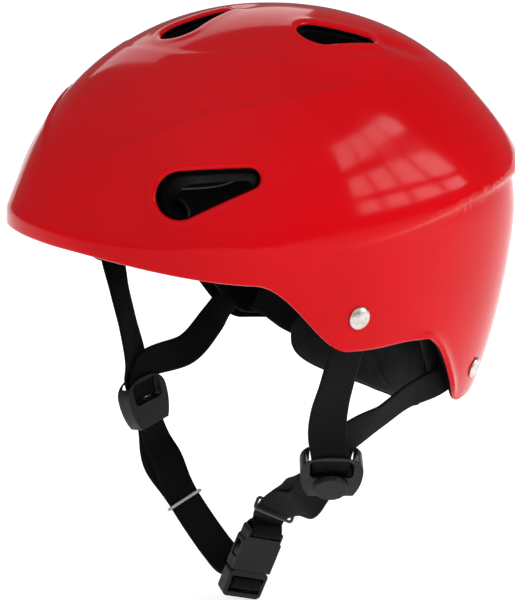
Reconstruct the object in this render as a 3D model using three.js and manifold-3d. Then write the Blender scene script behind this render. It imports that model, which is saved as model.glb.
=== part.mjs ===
// Water-sports helmet: a hard shell over a foam liner with fit pads, a nape pad, and a chin harness of
// webbing that hangs from four rivets and closes in a side-release buckle.
// Millimetres. +Z is up, the wearer faces -Y and the wearer's left side is +X. The origin is the
// middle of the head, level with the lower edge of the brim.
import * as THREE from 'three';
import { mergeVertices } from 'three/addons/utils/BufferGeometryUtils.js';
import Module from 'manifold-3d';

// ---- driving dimensions ----
const SHELL = {
  halfWidth: 114.5, halfLength: 140, height: 112.8, lowerHeight: 230, centreY: 8,
  planPower: 2.26, sidePower: 2.05, wall: 3.2, tilt: 5.8, brimFlare: 15, ledge: 6,
};
const LINER = { gap: 4, thickness: 18, tabGap: 11, tabThickness: 7, rimSetback: 6 };
const PAD = { gap: 1.9, thickness: 8.5 };
// Each vent is a teardrop: its blunt end's centre and its tip, as degrees round from the front and height.
const VENTS = [
  { blunt: [0, 95.8], tip: [0, 106.5], bluntRadius: 10.5, tipRadius: 3.2 },
  { blunt: [60, 99.6], tip: [90.5, 98.3], bluntRadius: 10.3, tipRadius: 3.2 },
  { blunt: [-60, 99.6], tip: [-90.5, 98.3], bluntRadius: 10.3, tipRadius: 3.2 },
  { blunt: [30.2, 24], tip: [42.6, 33.6], bluntRadius: 11.3, tipRadius: 5 },
  { blunt: [-30.2, 24], tip: [-42.6, 33.6], bluntRadius: 11.3, tipRadius: 5 },
];
const RIVET = { headRadius: 5.8, headHeight: 2.6, shankRadius: 2.4, tailRadius: 3.6, tailHeight: 1.4 };
const RIVET_SITES = { front: [70, -31.3], rear: [124, -74.1] };   // degrees round, height
const WASHER = { radius: 7.5, thickness: 1.1 };
const WEBBING = { width: 20, thickness: 1.6, plies: 3.5 };
const DIVIDER = { width: 33, height: 31, depth: 10, wall: 1.6, capRadius: 9.4, capThickness: 2.4 };
const DIVIDER_SITES = {     // middle, the way up its slot, and the way its front looks
  left: { at: [82, -25.8, -121.1], axis: [0.33, -0.27, 0.9], facing: [0.77, -0.64, 0] },
  right: { at: [-80, -32.5, -130.5], axis: [-0.2, -0.12, 0.97], facing: [-0.98, -0.2, 0] },
};
const BUCKLE = { width: 26, length: 45, thickness: 9.5, wall: 1.5 };
const BUCKLE_TOP = [7.6, -8.3, -192.1];
const BUCKLE_BOTTOM = [0.4, -23.3, -233.9];
const BUCKLE_FACING = [0.95, -0.31, -0.05];
const KEEPER_SHARES = { left: 0.66, right: 0.56 };   // place of each keeper along its chin strap
const NAPE_PAD = { halfWidth: 57, height: 44, thickness: 13, radius: 74, centre: [0, 14, -108] };
const CLEAR = 0.3;          // air between neighbouring pieces
const STRAP_AIR = 1.5;      // air between the curved shell and the flat strap behind it
const STRAP_TAIL = 9;       // length of a strap beyond its rivet
const CUTTER = { in: 60, out: 25 };   // reach of a vent's cutter either side of the shell
const AROUND = 72;          // meridians of the shell
const strapDepth = SHELL.wall + STRAP_AIR + WEBBING.thickness / 2;
const washerDepth = SHELL.wall + STRAP_AIR + WEBBING.thickness + 2 * CLEAR + WASHER.thickness;

const wasm = await Module();
wasm.setup();
const rad = THREE.MathUtils.degToRad;
const vec = (x, y, z) => new THREE.Vector3(x, y, z);
const ramp = THREE.MathUtils.smoothstep;

// ---- general builders ----

// Closed body through a list of closed rings of equal point count; a ring of one point is a pole.
function loft(rings) {
  const positions = [];
  const starts = rings.map((ring) => {
    const start = positions.length / 3;
    ring.forEach((p) => positions.push(p.x, p.y, p.z));
    return start;
  });
  const index = [];
  for (let k = 0; k + 1 < rings.length; k += 1) {
    const [a, b] = [rings[k], rings[k + 1]];
    const n = Math.max(a.length, b.length);
    for (let i = 0; i < n; i += 1) {
      const j = (i + 1) % n;
      const a0 = starts[k] + (a.length === 1 ? 0 : i);
      const a1 = starts[k] + (a.length === 1 ? 0 : j);
      const b0 = starts[k + 1] + (b.length === 1 ? 0 : i);
      const b1 = starts[k + 1] + (b.length === 1 ? 0 : j);
      if (a.length > 1) index.push(a0, a1, b1);
      if (b.length > 1) index.push(a0, b1, b0);
    }
  }
  const geometry = new THREE.BufferGeometry();
  geometry.setAttribute('position', new THREE.Float32BufferAttribute(positions, 3));
  geometry.setIndex(signedVolume(positions, index) < 0 ? index.reverse() : index);
  return geometry;
}

function signedVolume(positions, index) {
  const p = (i) => vec(positions[3 * i], positions[3 * i + 1], positions[3 * i + 2]);
  let volume = 0;
  for (let t = 0; t < index.length; t += 3) {
    volume += p(index[t]).dot(p(index[t + 1]).cross(p(index[t + 2]))) / 6;
  }
  return volume;
}

const middle = (ring) => ring.reduce((sum, p) => sum.add(p), vec(0, 0, 0)).divideScalar(ring.length);
const capped = (rings) => loft([[middle(rings[0])], ...rings, [middle(rings.at(-1))]]);

function toSolid(geometry) {
  const bare = geometry.clone();
  bare.deleteAttribute('normal');
  bare.deleteAttribute('uv');
  const merged = mergeVertices(bare, 1e-4);
  return new wasm.Manifold(new wasm.Mesh({
    numProp: 3,
    vertProperties: new Float32Array(merged.attributes.position.array),
    triVerts: new Uint32Array(merged.index.array),
  }));
}

function fromSolid(solid) {
  const mesh = solid.getMesh();
  const geometry = new THREE.BufferGeometry();
  geometry.setAttribute('position', new THREE.BufferAttribute(new Float32Array(mesh.vertProperties), 3));
  geometry.setIndex(new THREE.BufferAttribute(new Uint32Array(mesh.triVerts), 1));
  return geometry;
}

const cut = (geometry, tools) => fromSolid(
  tools.reduce((solid, tool) => solid.subtract(toSolid(tool)), toSolid(geometry)));
const join = (...pieces) => fromSolid(pieces.map(toSolid).reduce((a, b) => a.add(b)));

// Rounded rectangle as a THREE.Shape.
function roundedRect(width, height, radius) {
  const [x, y] = [width / 2, height / 2];
  const shape = new THREE.Shape();
  shape.moveTo(-x + radius, -y);
  shape.lineTo(x - radius, -y);
  shape.absarc(x - radius, -y + radius, radius, -Math.PI / 2, 0);
  shape.lineTo(x, y - radius);
  shape.absarc(x - radius, y - radius, radius, 0, Math.PI / 2);
  shape.lineTo(-x + radius, y);
  shape.absarc(-x + radius, y - radius, radius, Math.PI / 2, Math.PI);
  shape.lineTo(-x, -y + radius);
  shape.absarc(-x + radius, -y + radius, radius, Math.PI, 1.5 * Math.PI);
  return shape;
}

const plate = (shape, depth, curveSegments = 4) => new THREE.ExtrudeGeometry(
  shape, { depth, bevelEnabled: false, curveSegments }).translate(0, 0, -depth / 2);
const box = (x, y, z) => new THREE.BoxGeometry(x, y, z);

function material(color, roughness, metalness = 0) {
  return new THREE.MeshStandardMaterial({ color, roughness, metalness });
}

const LOOK = {
  shell: () => material(0xc4141b, 0.14),
  foam: () => material(0x151516, 0.9),
  fabric: () => material(0x1d1d1f, 0.85),
  napePad: () => material(0x2c2d2f, 0.8),
  webbing: () => material(0x0c0c0d, 0.75),
  plastic: () => material(0x17181a, 0.45),
  nickel: () => material(0xb9b6ae, 0.28, 1),
  keeper: () => material(0x9a9a9a, 0.6),
};

function piece(name, geometry, look) {
  const mesh = new THREE.Mesh(geometry, look());
  mesh.name = name;
  return mesh;
}

// ---- the shell's surface ----

// Height of the shell's lower edge at an angle round from the front, in degrees: brim, temple tab,
// ear cut-out, rear tab with the rear rivet, and the arch over the nape.
function rimHeight(degrees) {
  const d = Math.abs(((degrees + 540) % 360) - 180);
  const brim = -8 - 7 * ramp(d, 10, 48);
  const temple = -34 * ramp(d, 47, 69);
  const ear = 2 * ramp(d, 72, 90);
  const rearTab = -46 * ramp(d, 96, 121);
  const nape = 40 * ramp(d, 134, 172);
  return brim + temple + ear + rearTab + nape;
}

// Height of the tuck-in line under the rear ledge.
const ledgeHeight = (d) => 33 * ramp(d, 44, 142);

// Point of the outer face: theta runs round from the front, phi down from the crown (radians).
function bareShell(theta, phi) {
  const [s, c] = [Math.abs(Math.sin(theta)), Math.abs(Math.cos(theta))];
  const m = SHELL.planPower;
  const plan = ((s / SHELL.halfWidth) ** m + (c / SHELL.halfLength) ** m) ** (-1 / m);
  const upper = phi <= Math.PI / 2;
  const height = upper ? SHELL.height : SHELL.lowerHeight;
  const n = upper ? SHELL.sidePower : 2;
  const reach = ((Math.sin(phi) / plan) ** n + (Math.abs(Math.cos(phi)) / height) ** n) ** (-1 / n);
  const out = reach * Math.sin(phi);
  return vec(out * Math.sin(theta), SHELL.centreY - out * Math.cos(theta), reach * Math.cos(phi));
}

function shellPoint(theta, phi) {
  const p = bareShell(theta, phi);
  const front = Math.max(Math.cos(theta), 0);
  const flare = SHELL.brimFlare * front * Math.exp(-Math.max(p.z, 0) / 30);
  const stretch = 1 + flare / SHELL.halfLength;
  p.y = SHELL.centreY + (p.y - SHELL.centreY) * stretch;
  const d = Math.abs(THREE.MathUtils.radToDeg(Math.atan2(Math.sin(theta), Math.cos(theta))));
  const above = p.z - ledgeHeight(d);
  const bulge = SHELL.ledge * ramp(d, 60, 150) * ramp(above, -3, 7) * (1 - ramp(above, 12, 44));
  p.x += bulge * Math.sin(theta);
  p.y -= bulge * Math.cos(theta);
  return p;
}

function normalAt(surface, theta, phi) {
  const e = 1e-3;
  const p = Math.max(phi, 0.01);
  const around = surface(theta + e, p).sub(surface(theta - e, p));
  const down = surface(theta, p + e).sub(surface(theta, p - e));
  return down.cross(around).normalize();
}

const inset = (surface, theta, phi, depth) => surface(theta, phi).addScaledVector(
  normalAt(surface, theta, phi), -depth);

function phiAtHeight(theta, z) {
  let [low, high] = [0, 2.9];
  for (let k = 0; k < 40; k += 1) {
    const mid = (low + high) / 2;
    if (bareShell(theta, mid).z < z) high = mid;
    else low = mid;
  }
  return (low + high) / 2;
}

// A dome between two depths under a surface, down to a rim height that may vary round it.
function dome(surface, rim, outerDepth, innerDepth, columns, rows) {
  const ringAt = (v, depth) => Array.from({ length: columns }, (_, i) => {
    const theta = (2 * Math.PI * i) / columns;
    const phi = v * phiAtHeight(theta, rim(360 * i / columns));
    return inset(surface, theta, phi, depth(bareShell(theta, phi).z));
  });
  const steps = Array.from({ length: rows }, (_, k) => ((k + 1) / rows) ** 0.85);
  return loft([
    [inset(surface, 0, 0, outerDepth(SHELL.height))],
    ...steps.map((v) => ringAt(v, outerDepth)),
    ...steps.toReversed().map((v) => ringAt(v, innerDepth)),
    [inset(surface, 0, 0, innerDepth(SHELL.height))],
  ]);
}

// Teardrop outline in a tangent plane: a blunt circle and a small tip circle joined by straight sides.
function teardrop(bluntRadius, tipRadius, span, grow = 0) {
  const [r0, r1] = [bluntRadius + grow, tipRadius + grow];
  const lean = Math.asin((r0 - r1) / span);
  const points = [];
  for (let k = 0; k <= 10; k += 1) {
    const a = Math.PI / 2 - lean + (k / 10) * (Math.PI + 2 * lean);
    points.push([r0 * Math.cos(a), r0 * Math.sin(a)]);
  }
  for (let k = 0; k <= 5; k += 1) {
    const a = -Math.PI / 2 + lean + (k / 5) * (Math.PI - 2 * lean);
    points.push([span + r1 * Math.cos(a), r1 * Math.sin(a)]);
  }
  return points;
}

function ventCutter({ blunt, tip, bluntRadius, tipRadius }, grow = 0) {
  const [a, b] = [blunt, tip].map(([d, z]) => {
    const theta = rad(d);
    return shellPoint(theta, phiAtHeight(theta, z));
  });
  const thetaMid = rad((blunt[0] + tip[0]) / 2);
  const normal = normalAt(bareShell, thetaMid, phiAtHeight(thetaMid, (blunt[1] + tip[1]) / 2));
  const along = b.clone().sub(a);
  along.addScaledVector(normal, -along.dot(normal));
  const span = along.length();
  along.normalize();
  const across = normal.clone().cross(along);
  const outline = teardrop(bluntRadius, tipRadius, span, grow);
  const ring = (height) => outline.map(([u, v]) => a.clone().addScaledVector(along, u)
    .addScaledVector(across, v).addScaledVector(normal, height));
  return capped([ring(-CUTTER.in), ring(CUTTER.out)]);
}

// Place and axes of a rivet on the shell.
function rivetFrame([degrees, z], side) {
  const theta = rad(degrees * side);
  const phi = phiAtHeight(theta, z);
  const normal = normalAt(bareShell, theta, phi);
  const up = vec(0, 0, 1).addScaledVector(normal, -normal.z).normalize();
  return { at: shellPoint(theta, phi), normal, up };
}

function alongAxis(object, at, axis) {
  object.position.copy(at);
  object.quaternion.setFromUnitVectors(vec(0, 1, 0), axis);
  return object;
}

function rodTool(at, axis, radius, length) {
  const rod = new THREE.Mesh(new THREE.CylinderGeometry(radius, radius, length, 16));
  alongAxis(rod, at, axis);
  rod.updateMatrix();
  return rod.geometry.applyMatrix4(rod.matrix);
}

// ---- helmet body: everything that shares the shell's backward tilt ----
const helmet = new THREE.Group();
helmet.rotation.x = -rad(SHELL.tilt);
helmet.updateMatrixWorld();
const toPart = (v) => v.clone().applyMatrix4(helmet.matrixWorld);
const turned = (v) => v.clone().applyQuaternion(helmet.quaternion);

const rivets = [];
for (const [side, label] of [[1, 'left'], [-1, 'right']]) {
  for (const [place, site] of Object.entries(RIVET_SITES)) {
    rivets.push({ name: `${place}_${label}`, ...rivetFrame(site, side) });
  }
}

function outerShell() {
  const body = dome(shellPoint, rimHeight, () => 0, () => SHELL.wall, AROUND, 13);
  const holes = rivets.map(({ at, normal }) => rodTool(at, normal, RIVET.shankRadius + CLEAR, 20));
  return cut(body, [...VENTS.map((vent) => ventCutter(vent)), ...holes]);
}

function foamLiner() {
  const rim = (d) => rimHeight(d) + LINER.rimSetback;
  const toTab = (z) => 1 - ramp(z, -22, -6);
  const outer = (z) => LINER.gap + (LINER.tabGap - LINER.gap) * toTab(z);
  const inner = (z) => outer(z) + LINER.thickness + (LINER.tabThickness - LINER.thickness) * toTab(z);
  const body = dome(bareShell, rim, outer, inner, 48, 8);
  return cut(body, VENTS.map((vent) => ventCutter(vent, -1.5)));
}

// Fit pad on the liner's inner face: a rounded patch centred at [degrees, height].
function fitPad([degrees, z], halfAngle, halfHeight, thickness = PAD.thickness) {
  const near = LINER.gap + LINER.thickness + PAD.gap;
  const corner = (scale, depth) => Array.from({ length: 16 }, (_, i) => {
    const a = (2 * Math.PI * i) / 16;
    const [c, s] = [Math.cos(a), Math.sin(a)];
    const u = Math.sign(c) * Math.abs(c) ** 0.6 * scale * halfAngle;
    const v = Math.sign(s) * Math.abs(s) ** 0.6 * scale * halfHeight;
    const theta = rad(degrees + u);
    return inset(bareShell, theta, phiAtHeight(theta, z + v), depth);
  });
  const pole = (depth) => [inset(bareShell, rad(degrees), phiAtHeight(rad(degrees), z), depth)];
  const far = near + thickness;
  return loft([pole(near), corner(0.5, near), corner(1, near), corner(1, far - 2),
    corner(0.9, far), corner(0.5, far), pole(far)]);
}

// Crown pad: a disc with a domed top against the liner and a flat face towards the head.
function crownPad() {
  const top = SHELL.height - LINER.gap - LINER.thickness - PAD.gap - 1.5;
  const radius = 34;
  const profile = [[0, top - 12], [radius - 2, top - 12], [radius, top - 10], [radius, top - 6.5],
    [radius * 0.6, top - 2], [0, top]];
  return new THREE.LatheGeometry(profile.map(([x, y]) => new THREE.Vector2(x, y)), 24)
    .rotateX(Math.PI / 2).translate(0, SHELL.centreY, 0);
}

function rivetGeometry() {
  const { headRadius, headHeight, shankRadius, tailRadius, tailHeight } = RIVET;
  const tailTop = -(washerDepth + CLEAR);
  const head = Array.from({ length: 4 }, (_, k) => {
    const a = (k / 4) * (Math.PI / 2);
    return [headRadius * Math.cos(a), CLEAR + headHeight * Math.sin(a)];
  });
  const profile = [[0, tailTop - tailHeight], [tailRadius * 0.8, tailTop - tailHeight],
    [tailRadius, tailTop - tailHeight * 0.6], [tailRadius, tailTop], [shankRadius, tailTop],
    [shankRadius, CLEAR], ...head, [0, CLEAR + headHeight]];
  return new THREE.LatheGeometry(profile.map(([x, y]) => new THREE.Vector2(x, y)), 16);
}

function washerGeometry() {
  const [inner, outer, t] = [RIVET.shankRadius + CLEAR, WASHER.radius, WASHER.thickness];
  const profile = [[inner, 0], [outer, 0], [outer, t], [inner, t], [inner, 0]];
  return new THREE.LatheGeometry(profile.map(([x, y]) => new THREE.Vector2(x, y)), 16);
}

helmet.add(
  piece('outer_shell', outerShell(), LOOK.shell),
  piece('foam_liner', foamLiner(), LOOK.foam),
  piece('crown_pad', crownPad(), LOOK.fabric),
  piece('front_pad', fitPad([0, 12], 27, 15), LOOK.fabric),
  piece('rear_pad', fitPad([180, 12], 27, 15), LOOK.fabric),
  piece('side_pad_left', fitPad([88, 14], 24, 16), LOOK.fabric),
  piece('side_pad_right', fitPad([-88, 14], 24, 16), LOOK.fabric),
);
for (const { name, at, normal } of rivets) {
  const washerAt = at.clone().addScaledVector(normal, -washerDepth);
  helmet.add(
    alongAxis(piece(`rivet_${name}`, rivetGeometry(), LOOK.nickel), at, normal),
    alongAxis(piece(`washer_${name}`, washerGeometry(), LOOK.plastic), washerAt, normal),
  );
}

// ---- webbing ----

// Flat ribbon along points; each point also gives the direction of the ribbon's width.
function ribbon(points, widths, thickness, steps) {
  const path = new THREE.CatmullRomCurve3(points, false, 'centripetal');
  const rings = [];
  for (let k = 0; k <= steps; k += 1) {
    const t = k / steps;
    const at = path.getPoint(t);
    const tangent = path.getTangent(t);
    const side = blended(widths, t);
    side.addScaledVector(tangent, -side.dot(tangent)).setLength(WEBBING.width / 2);
    const face = tangent.clone().cross(side).setLength(thickness / 2);
    rings.push([[1, 1], [0, 1], [-1, 1], [-1, -1], [0, -1], [1, -1]].map(([u, v]) => at.clone()
      .addScaledVector(side, u).addScaledVector(face, v)));
  }
  return capped(rings);
}

// Direction at a share t of a list of directions, with straight blends between them.
function blended(directions, t) {
  const at = Math.min(t * (directions.length - 1), directions.length - 1.001);
  const k = Math.floor(at);
  return directions[k].clone().lerp(directions[k + 1], at - k);
}

const TOP = Object.fromEntries(rivets.map((r) => {
  const hole = toPart(r.at.clone().addScaledVector(r.normal, -strapDepth));
  return [r.name, { hole, normal: turned(r.normal), up: turned(r.up) }];
}));

// Unit vector at right angles to an axis, nearest a given direction.
const squareTo = (axis, [x, y, z]) => vec(x, y, z).addScaledVector(
  axis, -axis.dot(vec(x, y, z))).normalize();

// Place and axes of a divider: axis runs up its slot, out points away from the head.
function dividerAxes(label) {
  const { at, axis, facing } = DIVIDER_SITES[label];
  const up = vec(...axis).normalize();
  const out = squareTo(up, facing);
  return { at: vec(...at), up, out, across: up.clone().cross(out) };
}

function inDivider(label, height, depth) {
  const { at, up, out } = dividerAxes(label);
  return at.clone().addScaledVector(up, height).addScaledVector(out, depth);
}

// Direction across a divider, towards the back of the head where side is 1.
function acrossBack(label, side) {
  const { across } = dividerAxes(label);
  return across.clone().multiplyScalar(Math.sign(across.y) * side);
}

// Middle stretches of the two legs, with the direction of the webbing's width at each point.
const FRONT_ROUTES = {
  left: [[100.5, -38, -62], [94.5, -36.2, -80], [90, -33.5, -97]],
  right: [[-95.5, -38.4, -58], [-88.5, -37, -82], [-84.5, -35, -104]],
};
const FRONT_WIDTHS = {
  left: [[0.25, 0.97, 0.05], [0.45, 0.88, 0.1], [0.58, 0.81, 0.05]],
  right: [[0.1, -1, -0.05], [0.2, -0.97, -0.08], [0.2, -0.97, -0.08]],
};
const REAR_ROUTES = {
  left: [[94.5, 44, -84], [93, 20, -87.5], [91.5, -2, -95.5]],
  right: [[-96, 46, -84.3], [-88.5, 28, -91.5], [-81.5, 6, -102.5]],
};
const REAR_WIDTHS = [[0.15, 0, 1], [0.15, -0.1, 1], [0.1, -0.35, 0.9], [-0.15, -0.62, 0.72]];

// The front leg runs straight down from its rivet, with its end just above the rivet.
function frontStrap(label, side) {
  const { hole, normal, up } = TOP[`front_${label}`];
  const top = up.clone().cross(normal);
  const points = [hole.clone().addScaledVector(up, STRAP_TAIL), hole,
    hole.clone().addScaledVector(up, -STRAP_TAIL - 2), ...FRONT_ROUTES[label].map((p) => vec(...p)),
    inDivider(label, 14, 2.7), inDivider(label, 1.5, 1.1)];
  const widths = [top, top, top, ...FRONT_WIDTHS[label].map((p) => vec(...p)),
    ...Array(2).fill(acrossBack(label, side))];
  return cut(ribbon(points, widths, WEBBING.thickness, 16),
    [rodTool(hole, normal, RIVET.shankRadius + CLEAR, 8)]);
}

// The rear leg runs forward from its rivet, under the ear cut-out, and turns down into the divider, its
// upper edge becoming its front edge.
function rearStrap(label, side) {
  const { hole, normal, up } = TOP[`rear_${label}`];
  const forward = up.clone().cross(normal).multiplyScalar(-side);
  const rearward = acrossBack(label, 1);
  const points = [hole.clone().addScaledVector(forward, -STRAP_TAIL), hole,
    hole.clone().addScaledVector(forward, 8).addScaledVector(normal, -0.4),
    ...REAR_ROUTES[label].map((p) => vec(...p)),
    inDivider(label, 22, -4).addScaledVector(rearward, 11),
    inDivider(label, 14, -2.3).addScaledVector(rearward, 2.6), inDivider(label, 2.2, -1.1)];
  const widths = [up, up, up, ...REAR_WIDTHS.map(([x, y, z]) => vec(x * side, y, z)),
    ...Array(2).fill(acrossBack(label, -1))];
  return cut(ribbon(points, widths, WEBBING.thickness, 22),
    [rodTool(hole, normal, RIVET.shankRadius + CLEAR, 8)]);
}

// Below the divider both legs run together, drawn as one doubled strap.
const CHIN_ROUTES = {
  left: [[71.6, -22.2, -143.4], [58.5, -22, -149.5], [40.5, -19.2, -158.4], [27, -15.5, -168.5],
    [15.5, -10, -179], [9, -5.9, -185.4], [8, -7.5, -190]],
  right: [[-73.8, -28.8, -160], [-67.5, -26.8, -172.5], [-57.5, -24.5, -185.5], [-45.5, -22, -198.5],
    [-30, -19.5, -211.8], [-17, -17.8, -220.5], [-7, -17.6, -225]],
};
const CHIN_WIDTHS = {
  left: [[0.62, 0.6, -0.4], [0.57, 0.35, -0.74], [0.5, 0.45, -0.7], [0.42, 0.65, -0.6],
    [0.3, 0.85, -0.42], [0.27, 0.88, -0.38], [0.27, 0.88, -0.38]],
  right: [[0.1, 1, 0.1], [0.35, 0.93, 0.15], [0.5, 0.8, 0.25], [0.5, 0.72, 0.4], [0.4, 0.7, 0.5],
    [0.3, 0.85, 0.15], [0.27, 0.88, -0.38]],
};

function chinPath(label) {
  const across = acrossBack(label, 1);
  return {
    points: [inDivider(label, -0.5, 0), inDivider(label, -17, 0),
      ...CHIN_ROUTES[label].map((p) => vec(...p))],
    widths: [across, across, ...CHIN_WIDTHS[label].map((p) => vec(...p))],
  };
}

function chinStrap(label) {
  const { points, widths } = chinPath(label);
  return ribbon(points, widths, WEBBING.plies, 20);
}

// Elastic loop that keeps the two plies together, round the chin strap at a share of its length.
function keeper(label, share) {
  const { points, widths } = chinPath(label);
  const path = new THREE.CatmullRomCurve3(points, false, 'centripetal');
  const tangent = path.getTangent(share);
  const side = blended(widths, share);
  side.addScaledVector(tangent, -side.dot(tangent)).normalize();
  const outer = roundedRect(WEBBING.width + 3.2, WEBBING.plies + 3.8, 1.6);
  outer.holes.push(roundedRect(WEBBING.width + 1.4, WEBBING.plies + 2, 0.5));
  const mesh = piece(`strap_keeper_${label}`, plate(outer, 2.6, 2), LOOK.keeper);
  mesh.position.copy(path.getPoint(share));
  mesh.quaternion.setFromRotationMatrix(new THREE.Matrix4().makeBasis(
    side, tangent.clone().cross(side), tangent));
  return mesh;
}

// ---- divider: a flat hollow frame that both legs pass through, open above its round locking cap ----
function dividerFrame() {
  const { width, height, depth, wall } = DIVIDER;
  const outline = new THREE.Shape();
  const [w, h] = [width / 2, height / 2];
  outline.moveTo(-w * 0.72, -h);
  outline.quadraticCurveTo(-w, -h * 0.5, -w, h * 0.25);
  outline.quadraticCurveTo(-w, h, 0, h);
  outline.quadraticCurveTo(w, h, w, h * 0.25);
  outline.quadraticCurveTo(w, -h * 0.5, w * 0.72, -h);
  outline.closePath();
  const slotDepth = depth - 2 * wall;
  const across = (y, half, deep) => [[half, deep], [-half, deep], [-half, -deep], [half, -deep]].map(
    ([x, z]) => vec(x, y, z / 2));
  const channel = capped([across(-h - 1, WEBBING.width / 2 + 0.8, slotDepth),
    across(0, WEBBING.width / 2 + 1, slotDepth), across(h + 1, w - wall - 0.2, slotDepth + 2.4)]);
  const window = plate(roundedRect(WEBBING.width + 3, height * 0.44, 3), depth * 2).translate(
    0, height * 0.2, 0);
  return cut(plate(outline, depth, 12), [channel, window]);
}

function divider(label) {
  const group = new THREE.Group();
  const { at, up, out, across } = dividerAxes(label);
  group.position.copy(at);
  group.quaternion.setFromRotationMatrix(new THREE.Matrix4().makeBasis(across, up, out));
  const cap = new THREE.CylinderGeometry(
    DIVIDER.capRadius * 0.9, DIVIDER.capRadius, DIVIDER.capThickness, 20);
  cap.rotateX(Math.PI / 2).translate(0, -DIVIDER.height * 0.24,
    DIVIDER.depth / 2 + DIVIDER.capThickness / 2 + CLEAR);
  group.add(
    piece(`divider_${label}`, dividerFrame(), LOOK.plastic),
    piece(`divider_cap_${label}`, cap, LOOK.plastic),
  );
  return group;
}

// ---- side-release buckle. Its own frame: +Y up its length towards the socket's strap bar,
// +X across it, +Z out of its front face. The origin is where socket and plug meet. ----
const SOCKET_LENGTH = 27.5;
const PLUG_LENGTH = BUCKLE.length - SOCKET_LENGTH;
const PRONG = { reach: 18.6, width: 3, thickness: 5, offset: 8.4, barb: 2.8 };

function socketGeometry() {
  const { width, thickness, wall } = BUCKLE;
  const shape = new THREE.Shape();
  const [w, top, shoulder] = [width / 2, SOCKET_LENGTH, width / 2 - 1.2];
  shape.moveTo(-w, 0.3);
  shape.lineTo(w, 0.3);
  shape.lineTo(w, 18.6);
  shape.quadraticCurveTo(w, 20.4, shoulder, 20.8);
  shape.lineTo(shoulder, top - 2);
  shape.quadraticCurveTo(shoulder, top, shoulder - 2, top);
  shape.lineTo(-shoulder + 2, top);
  shape.quadraticCurveTo(-shoulder, top, -shoulder, top - 2);
  shape.lineTo(-shoulder, 20.8);
  shape.quadraticCurveTo(-w, 20.4, -w, 18.6);
  shape.closePath();
  const inside = box(width - 2 * wall, 20.9, thickness - 2 * wall - 0.4).translate(0, 10.05, 0);
  const windows = [-1, 1].map((s) => box(6, 10.8, thickness - 3.2).translate(s * (w - 1), 12.5, 0));
  const barSlot = box(WEBBING.width + 1, 2.4, thickness + 2).translate(0, 23.6, 0);
  return cut(plate(shape, thickness, 4), [inside, ...windows, barSlot]);
}

function plugGeometry() {
  const { width, thickness, wall } = BUCKLE;
  const body = plate(roundedRect(width, PLUG_LENGTH, 3), thickness, 3).translate(
    0, -PLUG_LENGTH / 2, 0);
  const slot = box(WEBBING.width + 1.4, 4.6, thickness + 2).translate(0, -PLUG_LENGTH + 5.4, 0);
  const upperSlot = box(WEBBING.width + 1.4, 3.2, thickness + 2).translate(0, -PLUG_LENGTH + 12, 0);
  const guide = plate(roundedRect(5, 17, 1), thickness - 2 * wall - 2.4, 2).translate(0, 7.5, 0);
  return join(cut(body, [slot, upperSlot]), guide);
}

function prongGeometry(side) {
  const { reach, width, thickness, barb } = PRONG;
  const shape = new THREE.Shape();
  const x = (v) => side * v;
  shape.moveTo(x(-width / 2), 0.4);
  shape.lineTo(x(width / 2), 0.4);
  shape.lineTo(x(width / 2), reach * 0.36);
  shape.lineTo(x(width / 2 + barb), reach * 0.44);
  shape.quadraticCurveTo(x(width / 2 + barb + 0.2), reach * 0.72, x(width / 2 + 0.6), reach * 0.86);
  shape.lineTo(x(width / 2 - 1), reach);
  shape.lineTo(x(-width / 2), reach * 0.94);
  shape.closePath();
  return plate(shape, thickness, 4).translate(side * PRONG.offset, 0, 0);
}

function buckle() {
  const group = new THREE.Group();
  const [top, bottom] = [vec(...BUCKLE_TOP), vec(...BUCKLE_BOTTOM)];
  const up = top.clone().sub(bottom).normalize();
  const out = squareTo(up, BUCKLE_FACING);
  group.position.copy(bottom).addScaledVector(up, PLUG_LENGTH);
  group.quaternion.setFromRotationMatrix(new THREE.Matrix4().makeBasis(
    up.clone().cross(out), up, out));
  group.add(
    piece('buckle_socket', socketGeometry(), LOOK.plastic),
    piece('buckle_plug', plugGeometry(), LOOK.plastic),
    piece('prong_left', prongGeometry(1), LOOK.plastic),
    piece('prong_right', prongGeometry(-1), LOOK.plastic),
  );
  return group;
}

// ---- nape pad and the two bands that carry it ----
function arcSlab(from, to, radius, thickness, low, high, lean, steps) {
  const { centre } = NAPE_PAD;
  const rings = [];
  for (let k = 0; k <= steps; k += 1) {
    const a = rad(from + ((to - from) * k) / steps);
    const out = vec(Math.sin(a), Math.cos(a), 0);
    const at = (r, z) => vec(centre[0], centre[1], z).addScaledVector(out, r + lean * (z - centre[2]));
    const [lowZ, highZ] = [low(a), high(a)];
    rings.push([at(radius, lowZ), at(radius + thickness, lowZ), at(radius + thickness, highZ),
      at(radius, highZ)]);
  }
  return capped(rings);
}

function napePad() {
  const { halfWidth, height, thickness, radius, centre } = NAPE_PAD;
  const reach = THREE.MathUtils.radToDeg(Math.asin(halfWidth / (radius + thickness / 2)));
  const share = (a) => Math.abs(a) / rad(reach);
  const low = (a) => centre[2] - (height / 2) * Math.sqrt(1 - 0.8 * share(a) ** 3) + 3 * share(a);
  const high = (a) => centre[2] + (height / 2) * Math.sqrt(1 - 0.8 * share(a) ** 3) + 3 * share(a);
  return arcSlab(-reach, reach, radius, thickness, low, high, 0.12, 12);
}

// A band runs from the liner's inner face at the rear tab to the back of the pad's end.
function napeBand(side) {
  const { centre, radius, thickness } = NAPE_PAD;
  const stops = [[61, 89.4, -79], [54, 89.8, -86], [47, radius + thickness + 4.4, -95],
    [38, radius + thickness + 3.2, -101], [31, radius + thickness + 3, -103]];
  const points = stops.map(([a, r, z]) => vec(
    side * r * Math.sin(rad(a)), centre[1] + r * Math.cos(rad(a)), z));
  const widths = stops.map(() => vec(0.1 * side, 0.1, 1));
  return ribbon(points, widths, WEBBING.thickness, 8);
}

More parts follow.
